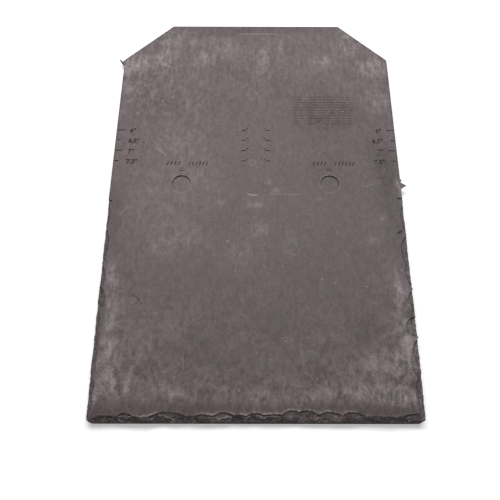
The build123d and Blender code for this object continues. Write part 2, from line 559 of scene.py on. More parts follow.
def end_tree(tree, geometry, result):
    """Close a geometry tree: its instances become mesh, and the tile's material goes on."""
    realized = add(tree, "GeometryNodeRealizeInstances", {"Geometry": geometry})
    coated = add(tree, "GeometryNodeSetMaterial", {"Geometry": realized.outputs[0], "Material": slate})
    tree.links.new(coated.outputs[0], result["Geometry"])


print("helpers: ready for", ", ".join(SOCKETS), "sockets")

# %% [markdown]
# ## Riven relief
# Slate splits along its layers, so its face undulates and carries fine lengthwise grain, and its chipped
# edge is rough and layered. The relief is real shape, made by one Geometry Nodes tree that moves the skin's
# points. It only ever goes inwards, so the tile keeps its size. Three masks say where each kind belongs.

# %% Masks for the relief
HEAD_LAP_SHARE = 0.45
LAP_END_Y = 20 * MM
LAP_FADE = 60 * MM
RIM_FADE = 2 * MM
FACE_FADE = 0.5 * MM
CHIP_START = 0.25 * MM
CHIP_RISE = 0.6 * MM
WANDER_FADE = 2.5 * MM


def store(table):
    """Keep named values on the skin's points, with zero on the points past the end of a list."""
    for label, values in table.items():
        kept = np.zeros(len(tile_mesh.vertices), dtype=np.float32)
        kept[: len(values)] = values
        layer = tile_mesh.attributes.new(label, "FLOAT", "POINT")
        layer.data.foreach_set("value", kept)
    print("stored:", {label: round(float(values.mean()), 3) for label, values in table.items()})


wall_y = np.tile(ring[:, 1], WALL_ROWS)
off_ground = np.arange(len(wall_y)) < len(ring) * (WALL_ROWS - 1)
exposed = HEAD_LAP_SHARE + (1 - HEAD_LAP_SHARE) * rise(LAP_END_Y - skin_plan[:, 1], 0, LAP_FADE)
exposed *= rise(skin_inset, 0, RIM_FADE) * (1 - rise(chip_depth, 0, FACE_FADE))
chipped = rise(chip_depth - CHIP_START, 0, CHIP_RISE) * chip_fade(skin_plan[:, 1])
wander = rise(skin_inset, 0, WANDER_FADE) * (1 - rise(past_chips(skin_plan), 0, MIDDLE_BAND))
store(
    {
        "exposed": exposed,
        "chipped": np.concatenate([chipped, chip_fade(wall_y) * off_ground]),
        "wander": wander,
    }
)

# %% Relief tree
UNDULATION_LUMP = 60 * MM
RIVEN_LUMP = 7 * MM
LAYER_LUMP = 45 * MM
ROUGH_LUMP = 3.2 * MM
BED_LUMP = 1.1 * MM
WANDER_LUMP = 9 * MM
RIVEN_SQUEEZE = (1, 0.16, 0)
LAYER_SQUEEZE = (1, 0.6, 0)
BED_SQUEEZE = (0.12, 0.12, 1)
WANDER_GAIN = (4, 4, 0)
NOISE_MEAN = 0.5
relief, given, result = new_tree(
    "riven_relief",
    "GeometryNodeTree",
    {
        "Geometry": ("geometry", None),
        "Undulation": ("value", 0.2 * MM),
        "Grain": ("value", 0.1 * MM),
        "Layer step": ("value", 0.06 * MM),
        "Chip roughness": ("value", 0.45 * MM),
        "Chip layers": ("value", 0.4 * MM),
        "Lip wander": ("value", 0.9 * MM),
    },
    {"Geometry": "geometry"},
)


def mask(label):
    """A mask stored on the skin's points."""
    made = add(relief, "GeometryNodeInputNamedAttribute", {"Name": label}, data_type="FLOAT")
    return made.outputs["Attribute"]


# The face: slow undulation, lengthwise grain and the low steps of split layers, all straight down
here = add(relief, "GeometryNodeInputPosition").outputs[0]
undulation = sums(relief, "MULTIPLY", noise(relief, here, UNDULATION_LUMP), given["Undulation"])
riven = vectors(relief, "MULTIPLY", here, RIVEN_SQUEEZE)
grain = sums(relief, "MULTIPLY", noise(relief, riven, RIVEN_LUMP, 3), given["Grain"])
layer = noise(relief, vectors(relief, "MULTIPLY", here, LAYER_SQUEEZE), LAYER_LUMP, 4)
layer = sums(relief, "MULTIPLY", ramp(relief, layer, 0.5, 0.54), given["Layer step"])
sunk = sums(relief, "ADD", sums(relief, "ADD", undulation, grain), layer)
sunk = sums(relief, "MULTIPLY", sunk, mask("exposed"))

# The chips: lumps and flat beds, worn back along the surface's own direction
rough = ramp(relief, noise(relief, here, ROUGH_LUMP, 4, 0.6), 0.35, 0.75)
rough = sums(relief, "MULTIPLY", rough, given["Chip roughness"])
beds = noise(relief, vectors(relief, "MULTIPLY", here, BED_SQUEEZE), BED_LUMP, 2)
beds = sums(relief, "MULTIPLY", ramp(relief, beds, 0.4, 0.6), given["Chip layers"])
worn = sums(relief, "MULTIPLY", sums(relief, "ADD", rough, beds), mask("chipped"))

# The lips wander sideways
strayed = noise(relief, here, WANDER_LUMP, 3, 0.55, output=1)
strayed = vectors(relief, "SUBTRACT", strayed, (NOISE_MEAN, NOISE_MEAN, NOISE_MEAN))
strayed = scaled(relief, vectors(relief, "MULTIPLY", strayed, WANDER_GAIN), given["Lip wander"])
strayed = scaled(relief, strayed, mask("wander"))

normal = add(relief, "GeometryNodeInputNormal").outputs[0]
inward = scaled(relief, normal, sums(relief, "MULTIPLY", worn, -1.0))
down = joined(relief, Z=sums(relief, "MULTIPLY", sunk, -1.0))
shift = vectors(relief, "ADD", vectors(relief, "ADD", strayed, inward), down)
moved = add(relief, "GeometryNodeSetPosition", {"Geometry": given["Geometry"], "Offset": shift})
end_tree(relief, moved.outputs[0], result)

tile_mesh = run_nodes(tile, relief)
print("relief:", len(tile_mesh.vertices), "points moved")

# %% [markdown]
# ## Gauge marks
# Rows of grooves at both side edges let a roofer set the overlap: long at each whole step, short at each
# half step. Each row has a centring dash and dot on both sides of the middle. They repeat, so a Geometry
# Nodes tree lays out plain blocks along the rows, and the blocks are then cut from the skin.

# %% Gauge tree
GAUGE_FROM_HEAD = 145 * MM
GAUGE_PITCH = 12.7 * MM
gauge, given, result = new_tree(
    "gauge_marks",
    "GeometryNodeTree",
    {
        "Geometry": ("geometry", None),
        "Rows": ("count", 4),
        "Pitch": ("value", GAUGE_PITCH),
        "From head": ("value", GAUGE_FROM_HEAD),
        "Long groove": ("value", 9 * MM),
        "Short groove": ("value", 6 * MM),
        "Groove width": ("value", 1.6 * MM),
        "Dash width": ("value", 1.15 * MM),
        "Groove depth": ("value", 0.65 * MM),
    },
    {"Geometry": "geometry"},
)
first_y = sums(gauge, "SUBTRACT", HEAD_Y, given["From head"])
first_z = sums(gauge, "ADD", HEAD_THICKNESS, sums(gauge, "MULTIPLY", given["From head"], FACE_FALL))
step_y = sums(gauge, "MULTIPLY", given["Pitch"], -1.0)
step_z = sums(gauge, "MULTIPLY", given["Pitch"], FACE_FALL)
along_rows = {
    "Count": given["Rows"],
    "Start Location": joined(gauge, Y=first_y, Z=first_z),
    "Offset": joined(gauge, Y=step_y, Z=step_z),
}
rows = add(gauge, "GeometryNodeMeshLine", along_rows, mode="OFFSET").outputs[0]
is_half = sums(gauge, "MODULO", add(gauge, "GeometryNodeInputIndex").outputs[0], 2.0)
lengths = {"Factor": is_half, "A": given["Long groove"], "B": given["Short groove"]}
reach = add(gauge, "ShaderNodeMix", lengths, data_type="FLOAT").outputs[0]
tall = sums(gauge, "MULTIPLY", given["Groove depth"], 2.0)
block = add(gauge, "GeometryNodeMeshCube", {"Size": (1, 1, 1)}).outputs[0]
gathered = add(gauge, "GeometryNodeJoinGeometry")


def cut_rows(place, size, turn=0.0):
    """A block at each row, set over from the middle to a place."""
    column = add(gauge, "GeometryNodeSetPosition", {"Geometry": rows, "Offset": place}).outputs[0]
    settings = {"Points": column, "Instance": block, "Rotation": (0, 0, turn), "Scale": size}
    made = add(gauge, "GeometryNodeInstanceOnPoints", settings)
    gauge.links.new(made.outputs[0], gathered.inputs[0])


# A groove is half outside the tile, so its block is twice as long as its reach
groove_size = joined(gauge, X=sums(gauge, "MULTIPLY", reach, 2.0), Y=given["Groove width"], Z=tall)
for side in (-SIDE_X, SIDE_X):
    cut_rows((side, 0, 0), groove_size)

DASH_LENGTH = 5 * MM
DASH_MIDDLE = 13 * MM
DOT_SIDE = 1.5 * MM
DOT_PLACE = (9.4 * MM, 2.1 * MM)
dash_size = joined(gauge, X=DASH_LENGTH, Y=given["Dash width"], Z=tall)
dot_size = joined(gauge, X=DOT_SIDE, Y=DOT_SIDE, Z=tall)
for side in (-1, 1):
    cut_rows((side * DASH_MIDDLE, 0, 0), dash_size)
    cut_rows((side * DOT_PLACE[0], DOT_PLACE[1], 0), dot_size, math.pi / 4)
end_tree(gauge, gathered.outputs[0], result)
print("gauge tree:", len(gauge.nodes), "nodes")

# %% Cut the gauge marks
def cut_away(cutter, operation="DIFFERENCE"):
    """Cut a piece from the tile, or join it on, remove the piece and return the tile's new mesh."""
    modifier = tile.modifiers.new("cut", "BOOLEAN")
    modifier.operation = operation
    modifier.solver = "MANIFOLD"
    modifier.object = cutter
    made = keep_result(tile)
    bpy.data.meshes.remove(cutter.data)
    return made


gauge_piece = new_object("gauge_marks", bpy.data.meshes.new("gauge_marks"))
run_nodes(gauge_piece, gauge)
print("gauge:", len(gauge_piece.data.polygons), "faces of cutters")
tile_mesh = cut_away(gauge_piece)

# %% [markdown]
# ## Nail seats, pointers and figures
# The nail seats are shallow round recesses, set by the mount in the record. Above each stands a small
# pointer and a row of slanted strokes that marks the nailing zone. The figures beside the gauge grooves are
# plain numbers in inches, and a panel of faint ruled lines lies at the right of the head. All are flat
# outlines pushed through the face to one depth, gathered in one mesh and cut from the skin together.

# %% Shapes of the stamps
STAMP_RISE = 1.5 * MM
SEAT_SIDES = 72
SEAT_RING_SHARE = 0.88
SEAT_DISH = 0.05 * MM
FIGURE_BOLD_SHARE = 0.035
FIGURE_STRETCH = 1.12
FIGURE_STEPS = 3
FIGURE_MERGE = 0.01 * MM
stamps = bmesh.new()


def wall_between(mesh, lower, upper):
    """Join two rings of points by a wall."""
    for i in range(len(lower)):
        j = (i + 1) % len(lower)
        mesh.faces.new((lower[i], lower[j], upper[j], upper[i]))


def add_plate(mesh, outline, floor_z, top_z):
    """A closed plate over an outline, given in turn, from one height to another."""
    under = [mesh.verts.new((x, y, floor_z)) for x, y in outline]
    over = [mesh.verts.new((x, y, top_z)) for x, y in outline]
    mesh.faces.new(reversed(under))
    mesh.faces.new(over)
    wall_between(mesh, under, over)


def stamp_stroke(start, end, width, depth):
    """A straight stroke of even width that stands through the face to a depth."""
    start, end = Vector(start), Vector(end)
    side = (end - start).normalized().orthogonal() * (width / 2)
    outline = [tuple(p) for p in (start + side, start - side, end - side, end + side)]
    floor_z = face_height(sum(y for x, y in outline) / len(outline)) - depth
    add_plate(stamps, outline, floor_z, floor_z + depth + STAMP_RISE)


def stamp_seat(x, y, radius, depth):
    """A round block with a ring inside its floor, so that painted shade can go round the floor's edge."""
    floor_z = face_height(y) - depth
    turns = [2 * math.pi * i / SEAT_SIDES for i in range(SEAT_SIDES)]
    over, edge, inner = (
        [stamps.verts.new((x + reach * math.cos(turn), y + reach * math.sin(turn), z)) for turn in turns]
        for reach, z in (
            (radius, floor_z + depth + STAMP_RISE),
            (radius, floor_z),
            (radius * SEAT_RING_SHARE, floor_z - SEAT_DISH),
        )
    )
    stamps.faces.new(over)
    stamps.faces.new(reversed(inner))
    wall_between(stamps, edge, over)
    wall_between(stamps, inner, edge)


def stamp_figure(figure, x, y, height, depth):
    """A plain number, centred at its place."""
    curve = bpy.data.curves.new("figure", "FONT")
    curve.body = figure
    curve.size = height
    curve.align_x = "CENTER"
    curve.align_y = "CENTER"
    curve.offset = FIGURE_BOLD_SHARE * height
    curve.resolution_u = FIGURE_STEPS
    curve.extrude = (depth + STAMP_RISE) / 2
    letter = new_object("figure", curve)
    depsgraph = bpy.context.evaluated_depsgraph_get()
    mesh = bpy.data.meshes.new_from_object(letter.evaluated_get(depsgraph))
    made = bmesh.new()
    made.from_mesh(mesh)
    bmesh.ops.remove_doubles(made, verts=made.verts, dist=FIGURE_MERGE)
    bmesh.ops.scale(made, verts=made.verts, vec=(FIGURE_STRETCH, 1, 1))
    middle_z = face_height(y) + (STAMP_RISE - depth) / 2
    bmesh.ops.translate(made, verts=made.verts, vec=(x, y, middle_z))
    made.to_mesh(mesh)
    made.free()
    stamps.from_mesh(mesh)
    bpy.data.meshes.remove(mesh)
    bpy.data.curves.remove(curve)


print("stamps: seats of", SEAT_SIDES, "sides, strokes and figures")

# %% Seats, pointers and strokes
STROKE = 1.1 * MM
MARK_DEPTH = 0.8 * MM
SEAT_DEPTH = 1.5 * MM
POINTER_RISE = 19 * MM
POINTER_HALF = 2.9 * MM
POINTER_TALL = 3.6 * MM
POINTER_GAP = 0.5 * MM
POINTER_STROKE = 0.85 * MM
POINTER_DEPTH = 0.58 * MM
HATCH_RISE = 21.6 * MM
HATCH_TALL = 4.6 * MM
HATCH_LEAN = 1.6 * MM
HATCH_PLACES_MM = (-16.5, -12.5, -8.5, -4.5, 6.5, 10.3, 14.1, 17.9, 21.7, 25.5)

seats = next(mount for mount in frame["record"]["mounts"] if mount["name"] == "nail_seats")
SEAT_RADIUS = seats["dims"]["hole_r_mm"] * MM
seat_y = seats["pos_m"][1]
seat_places = [side * seats["dims"]["spacing_x_mm"] / 2 * MM for side in (-1, 1)]
for seat_x in seat_places:
    stamp_seat(seat_x, seat_y, SEAT_RADIUS, SEAT_DEPTH)
    tip_y = seat_y + POINTER_RISE
    for side in (-1, 1):
        tip = (seat_x + side * POINTER_GAP, tip_y)
        foot = (seat_x + side * POINTER_HALF, tip_y - POINTER_TALL)
        stamp_stroke(tip, foot, POINTER_STROKE, POINTER_DEPTH)
    base = POINTER_HALF - 2 * POINTER_GAP
    base_y = tip_y - POINTER_TALL
    stamp_stroke((seat_x - base, base_y), (seat_x + base, base_y), POINTER_STROKE, POINTER_DEPTH)
    for place_mm in HATCH_PLACES_MM:
        foot = Vector((seat_x + place_mm * MM, seat_y + HATCH_RISE))
        stamp_stroke(foot, foot + Vector((HATCH_LEAN, HATCH_TALL)), STROKE, MARK_DEPTH)
print("seats:", len(seat_places), "at", [round(x / MM, 1) for x in seat_places], "mm")

# %% Figures, notches and ruled panel
FIGURES = ("6\"", "6.5\"", "7\"", "7.5\"")
FIGURE_HEIGHT = 6.8 * MM
FIGURE_DROP = 1 * MM
WHOLE_FIGURE_X = 134.5 * MM
HALF_FIGURE_X = 132.5 * MM
for i, figure in enumerate(FIGURES):
    figure_y = HEAD_Y - GAUGE_FROM_HEAD - GAUGE_PITCH * i - FIGURE_DROP
    figure_x = HALF_FIGURE_X if i % 2 else WHOLE_FIGURE_X
    for side in (-1, 1):
        stamp_figure(figure, side * figure_x, figure_y, FIGURE_HEIGHT, MARK_DEPTH)

# Side notches: side, place and length
NOTCH_WIDTH = 1.4 * MM
NOTCHES = ((1, HEAD_Y - 226.7 * MM, 5.2 * MM), (-1, HEAD_Y - 229.9 * MM, 3.8 * MM))
for side, notch_y, notch_length in NOTCHES:
    start = (side * (SIDE_X - notch_length), notch_y)
    stamp_stroke(start, (side * (SIDE_X + STROKE), notch_y), NOTCH_WIDTH, MARK_DEPTH)

PANEL_ROWS = 11
PANEL_TOP = HEAD_Y - 101.5 * MM
PANEL_PITCH = 3.5 * MM
PANEL_COLUMNS_MM = ((41, 53), (56.5, 107))
RULE_WIDTH = 0.7 * MM
RULE_DEPTH = 0.33 * MM
RULE_SEED = 11
RULE_STARTS_MM = (0, 2)
RULE_LENGTHS_MM = (5, 20)
RULE_GAPS_MM = (1.5, 4)
SHORTEST_RULE_MM = 3
rule_draw = np.random.default_rng(RULE_SEED)
for row_number in range(PANEL_ROWS):
    rule_y = PANEL_TOP - row_number * PANEL_PITCH
    for column_start, column_end in PANEL_COLUMNS_MM:
        x_mm = column_start + rule_draw.uniform(*RULE_STARTS_MM)
        while x_mm < column_end - SHORTEST_RULE_MM:
            end_mm = min(x_mm + rule_draw.uniform(*RULE_LENGTHS_MM), column_end)
            stamp_stroke((x_mm * MM, rule_y), (end_mm * MM, rule_y), RULE_WIDTH, RULE_DEPTH)
            x_mm = end_mm + rule_draw.uniform(*RULE_GAPS_MM)


def cut_shapes(shapes, name, operation="DIFFERENCE"):
    """Make a cutter of some shapes, cut it from the tile or join it on, and return the tile's new mesh."""
    bmesh.ops.recalc_face_normals(shapes, faces=shapes.faces)
    open_count = sum(len(edge.link_faces) != 2 for edge in shapes.edges)
    cutter = new_object(name, bpy.data.meshes.new(name))
    shapes.to_mesh(cutter.data)
    shapes.free()
    print(name + ":", len(cutter.data.polygons), "faces,", open_count, "open edges")
    made = cut_away(cutter, operation)
    print("skin:", len(made.vertices), "points")
    return made


tile_mesh = cut_shapes(stamps, "stamps")

# %% [markdown]
# ## Flash
# Two slivers of plastic squeezed out between the halves of the mould are still on the edge: a barb at the
# right side, and at the left shoulder a web that ends in a thorn. They are thin plates a little under the
# face, joined to the skin. The solid holds them at its foot, and here they are lifted to where the mould's
# halves met.

# %% Flash slivers
FLASH_THICKNESS = 0.8 * MM
FLASH_UNDER_FACE = 1 * MM
FLASH_ROOT = 4 * MM
BARB_Y = HEAD_Y - 211.3 * MM
THORN_Y = HEAD_Y - 50 * MM
# Outlines in millimetres: out from the side edge, and along the tile from the sliver's own place
BARB = ((0, -3.8), (6.3, 0), (0.1, 3.7), (1.8, 6.2), (0, 8))
THORN = ((0, 0.6), (1.9, -1.3), (2.2, -2), (5.7, 1.4), (6.3, 0.6), (3.4, -4.4), (0.2, -8))
slivers = bmesh.new()
for side, sliver_y, outline in ((1, BARB_Y, BARB), (-1, THORN_Y, THORN)):
    top = face_height(sliver_y) - FLASH_UNDER_FACE
    places = [(side * (SIDE_X + out * MM), sliver_y + along * MM) for out, along in outline]
    places += [(side * (SIDE_X - FLASH_ROOT), y) for x, y in (places[-1], places[0])]
    add_plate(slivers, places, top - FLASH_THICKNESS, top)
tile_mesh = cut_shapes(slivers, "flash", "UNION")

# %% [markdown]
# ## Wear, stains and painted shade
# The colour follows the shape: the deep chips show the darker body of the plastic, lips are rubbed pale, and
# creases, steep chip faces, marks and recesses get painted shade. These are painted as values on the skin's
# points, worked out from the finished shape itself. Pale scuffs and darker stains lie where handling and the
# mould left them.

# %% Measure the finished shape
SHORTEST_EDGE = 0.05 * MM


def read(items, field, width, kind=float):
    """A value of all the skin's points or edges, one row each."""
    values = np.empty(len(items) * width, dtype=kind)
    items.foreach_get(field, values)
    return values.reshape(-1, width)


count = len(tile_mesh.vertices)
spot = read(tile_mesh.vertices, "co", 3)
facing = read(tile_mesh.vertex_normals, "vector", 3)
ends = read(tile_mesh.edges, "vertices", 2, int)
meeting = np.maximum(np.bincount(ends.ravel(), minlength=count), 1)


def around(values):
    """The mean of each point's neighbours along the edges."""
    total = np.bincount(ends[:, 0], weights=values[ends[:, 1]], minlength=count)
    total += np.bincount(ends[:, 1], weights=values[ends[:, 0]], minlength=count)
    return total / meeting


pull = np.stack([around(spot[:, axis]) for axis in range(3)], axis=1) - spot
edge_length = np.linalg.norm(spot[ends[:, 0]] - spot[ends[:, 1]], axis=1)
edge_mean = np.bincount(ends.ravel(), weights=np.repeat(edge_length, 2), minlength=count) / meeting
bulge = -np.einsum("ij,ij->i", pull, facing) / np.maximum(edge_mean, SHORTEST_EDGE)
depth = face_height(spot[:, 1]) - spot[:, 2]
upward = facing[:, 2]
across = spot[:, 0] / MM
along = spot[:, 1] / MM
print("shape:", count, "points, edges about", round(edge_mean.mean() / MM, 2), "mm")

# %% Paint the chips
# Stretches of the butt whose lips are rubbed pale: middle and half width in millimetres
RUBBED_LIPS = ((-95, 10), (-40, 8), (-8, 12), (14, 10), (38, 12), (66, 10), (85, 7))
LIP_REACH = 1.1 * MM
LEDGE_REACH = 0.7 * MM
FOOT_REACH = 0.5 * MM
SIDE_REACH = 0.75 * MM
FACE_DEPTH = 0.75 * MM
LIP_DEPTH = 1 * MM
EDGE_CLEAR = 0.9 * MM
BODY_DEPTHS = (1.4 * MM, 7.5 * MM)
UNDERSIDE_FACING = -0.5
STEEP_FACING = (-0.8, -0.4)
STEEP_SHADE = 0.5
from_edge = inset(spot[:, :2])
in_chips = 1 - rise(past_chips(spot[:, :2]), 0, MIDDLE_BAND)
in_chips *= upward > UNDERSIDE_FACING
near_butt = 1 - rise(spot[:, 1], BUTT_Y + BUTT_BAND, BUTT_Y + BUTT_BAND + MIDDLE_BAND)
at_side = in_chips * (1 - near_butt)
steep = rise(-upward, *STEEP_FACING)
on_face = depth < FACE_DEPTH


def nearness(kept, reach):
    """1 on the kept points of the chipped band, falling off over a reach seen from above."""
    tree = KDTree(int(kept.sum()))
    for i in np.flatnonzero(kept):
        tree.insert((spot[i, 0], spot[i, 1], 0), i)
    tree.balance()
    near = np.zeros(count)
    for i in np.flatnonzero(in_chips > 0):
        gap = tree.find((spot[i, 0], spot[i, 1], 0))[2]
        near[i] = math.exp(-((gap / reach) ** 2))
    return near * in_chips


CREST_BULGE = 0.25
CREST_FACING = 0.2
LEDGE_BULGE = 0.22
FOOT_BULGE = -0.15
FOOT_SHADE = 0.6
SIDE_SHADE = 0.9
PLAIN_LIP_SHARE = 0.12
banded = (in_chips > 0.5) & (from_edge > EDGE_CLEAR)
crests = banded & (bulge > CREST_BULGE) & (depth < LIP_DEPTH) & (upward > CREST_FACING)
ledges = banded & (bulge > LEDGE_BULGE) & (depth > LIP_DEPTH) & (upward > 0)
feet = banded & (bulge < FOOT_BULGE)
rubbed_along = sum(np.exp(-(((across - x) / half) ** 2)) for x, half in RUBBED_LIPS)
rubbed_along = np.clip(rubbed_along, 0, 1) * near_butt
lips = nearness(crests, LIP_REACH) * on_face * (PLAIN_LIP_SHARE + (1 - PLAIN_LIP_SHARE) * rubbed_along)
flakes = nearness(ledges, LEDGE_REACH) * near_butt * ~on_face
# Creases at the feet of the chips' risers get painted shade, stronger and wider in the side chips
crease_shade = FOOT_SHADE * nearness(feet, FOOT_REACH) * ~on_face
crease_shade = np.maximum(crease_shade, SIDE_SHADE * nearness(feet, SIDE_REACH) * at_side)
# Deep chips near the butt show the plastic's darker body, and steep chip faces are painted darker as shade
body = in_chips * np.clip(STEEP_SHADE * steep + near_butt * rise(depth, *BODY_DEPTHS), 0, 1)
print("chips:", crests.sum(), "crest points,", ledges.sum(), "ledge points,", feet.sum(), "foot points")

# %% Paint the shade in marks and recesses
# Marks get painted shade: most in the nailing zones, less at the left edge and least at the right edge
NAILING_MIDDLE_MM = 78
NAILING_HALF_MM = 40
NAILING_SHADE = 0.8
LEFT_SHADE = 0.62
RIGHT_SHADE = 0.42
MARK_SHADE_DEPTHS = (0.35 * MM, 0.75 * MM)
MARK_FLOOR_FACING = 0.35
marked = rise(depth, *MARK_SHADE_DEPTHS)
in_nailing = np.abs(np.abs(across) - NAILING_MIDDLE_MM) < NAILING_HALF_MM
mark_shade = np.where(in_nailing, NAILING_SHADE, np.where(across < 0, LEFT_SHADE, RIGHT_SHADE))
painted_shade = mark_shade * marked * (1 - in_chips) * (upward > MARK_FLOOR_FACING)

# In a seat, painted shade lies along the upper part of the floor's edge
SEAT_SHADE = 0.6
SEAT_SHADE_REACH = (0.93 * SEAT_RADIUS, SEAT_RADIUS)
SEAT_SHADE_RISE = (-0.75 * SEAT_RADIUS, 0.3 * SEAT_RADIUS)
SEAT_COVER = 1.02 * SEAT_RADIUS
for seat_x in seat_places:
    away = spot[:, :2] - (seat_x, seat_y)
    reach = np.linalg.norm(away, axis=1)
    seat_edge_shade = SEAT_SHADE * rise(reach, *SEAT_SHADE_REACH) * rise(away[:, 1], *SEAT_SHADE_RISE)
    painted_shade = np.where(reach < SEAT_COVER, seat_edge_shade * (depth > SEAT_DEPTH / 2), painted_shade)

# The side notches are nearly filled with painted shade, and the chipped edge gets some at its foot
NOTCH_SHADE = 0.95
GROUND_SHADE = 0.8
GROUND_SHADE_HEIGHT = 2 * MM
for side, notch_y, notch_length in NOTCHES:
    in_notch = side * spot[:, 0] > SIDE_X - notch_length - STROKE
    in_notch &= np.abs(spot[:, 1] - notch_y) < NOTCH_WIDTH
    painted_shade = np.where(in_notch, NOTCH_SHADE * marked, painted_shade)
painted_shade = np.maximum(painted_shade, GROUND_SHADE * rise(-spot[:, 2], -GROUND_SHADE_HEIGHT, 0) * in_chips)
print("dirt:", (painted_shade > 0.5).sum(), "points")

# %% Painted shade on the flash
# The flash keeps its own colour, but the thorn and the foot of its web get painted shade
FLASH_HALF = 10 * MM
FLASH_START_MM = SIDE_X / MM - 0.4
FLASH_LEAST_DEPTH = 0.5 * MM
WEB_START_MM = 0.1
WEB_FOOT_MM = THORN_Y / MM - 3
THORN_START_MM = 2.2
THORN_SHADE = 0.9
on_flash = np.abs(spot[:, 1] - BARB_Y) < FLASH_HALF
on_flash |= np.abs(spot[:, 1] - THORN_Y) < FLASH_HALF
on_flash &= (np.abs(across) > FLASH_START_MM) & (depth > FLASH_LEAST_DEPTH)
out = -across - SIDE_X / MM
on_thorn = on_flash & (out > WEB_START_MM) & ((out > THORN_START_MM) | (along < WEB_FOOT_MM))
painted_shade = np.where(on_flash, THORN_SHADE * on_thorn, painted_shade)
print("flash:", on_flash.sum(), "points,", on_thorn.sum(), "of them shaded")

# %% Paint the mottling
# Where the mottling is stronger, in millimetres: strength, a measure of the place, and the ends of its rise
WEAR_LEAST = 0.68
WEAR_RISES = (
    (0.5, np.abs(along + 20), 50, 160),
    (0.25, np.abs(across), 100, 145),
    (0.1, along, 80, 120),
    (0.4, -along, 90, 150),
    (0.8, -along, 165, 190),
)
LOWER_SIDES_STRENGTH = 0.5
LOWER_SIDES_ACROSS = (105, 135)
LOWER_SIDES_DOWN = (60, 90)
UPPER_LEFT = (-110, 120, 50, 45)
STREAKED_RISE = (60, 130)


def oval(x, y, half_width, half_length):
    """A soft oval patch, in millimetres, with 1 at its middle."""
    return np.exp(-(((across - x) / half_width) ** 2) - ((along - y) / half_length) ** 2)


wear = WEAR_LEAST + sum(strength * rise(place, start, end) for strength, place, start, end in WEAR_RISES)
lower_sides = rise(np.abs(across), *LOWER_SIDES_ACROSS) * rise(-along, *LOWER_SIDES_DOWN)
wear += LOWER_SIDES_STRENGTH * lower_sides + oval(*UPPER_LEFT)
streaked = rise(along, *STREAKED_RISE)
print("wear: from", round(wear.min(), 2), "to", round(wear.max(), 2))

# %% Scuffs, stains and warmer parts
# Pale scuffs: middle, half width and half length in millimetres, and strength
SCUFFS = (
    (-143, 161, 13, 14, 1.0),
    (-128, 172, 12, 7, 0.6),
    (-110, 172, 14, 12, 0.5),
    (-105, 192, 12, 12, 0.5),
    (-78, 200, 26, 6, 0.6),
    (-98, 212, 14, 6, 0.45),
    (112, 208, 14, 8, 0.5),
    (-60, 175, 9, 12, 0.8),
    (-102, 174, 9, 22, 0.5),
    (-35, 186, 16, 13, 0.5),
    (10, 174, 8, 20, 0.7),
    (30, 188, 12, 14, 0.3),
    (104, 190, 4, 10, 0.4),
    (77, 171, 18, 8, 0.7),
    (108, 192, 16, 14, 0.5),
    (135, 163, 15, 12, 1.0),
    (136, 118, 14, 11, 0.5),
    (-142, 134, 8, 14, 0.35),
    (-80, 113, 8, 14, 0.2),
    (-75, 58, 28, 24, 0.3),
    (-58, 12, 22, 26, 0.3),
    (-100, -5, 30, 45, 0.3),
    (-85, -52, 22, 18, 0.3),
    (-62, -45, 14, 14, 0.3),
    (5, -40, 16, 9, 0.45),
    (-15, -65, 18, 16, 0.3),
    (35, -53, 7, 12, 0.35),
    (0, -8, 15, 8, 0.25),
    (15, 15, 4, 3, 0.8),
    (21, 5, 6, 3, 0.55),
    (1, -12, 6, 2, 0.7),
    (-36, -8, 6, 4, 0.45),
    (67, -5, 3, 1.6, 0.6),
    (130, -27, 4, 5, 0.7),
    (118, -50, 5, 4, 0.5),
    (-141, -85, 6, 12, 0.8),
    (-138, -115, 6, 22, 0.75),
    (-136, -165, 10, 26, 0.75),
    (-144, -200, 4, 6, 0.9),
    (-122, -188, 16, 12, 0.65),
    (-100, -152, 18, 20, 0.25),
    (-80, -136, 14, 10, 0.25),
    (-75, -195, 20, 7, 0.4),
    (140, -100, 7, 22, 0.9),
    (142, -132, 6, 7, 0.4),
    (141, -148, 9, 11, 1.1),
    (142, -168, 7, 10, 0.5),
    (122, -168, 22, 10, 0.85),
    (96, -182, 16, 9, 0.2),
    (149.5, 12, 2.5, 8, 0.9),
    (151, 3, 1.5, 6, 0.8),
    (100, -195, 25, 6, 0.6),
    (136, -199, 13, 6, 0.7),
    (124, -203, 18, 3.5, 0.7),
    (69, -197, 5, 7, 0.35),
    (2, -199, 12, 5, 0.5),
    (50, -199, 12, 5, 0.5),
)
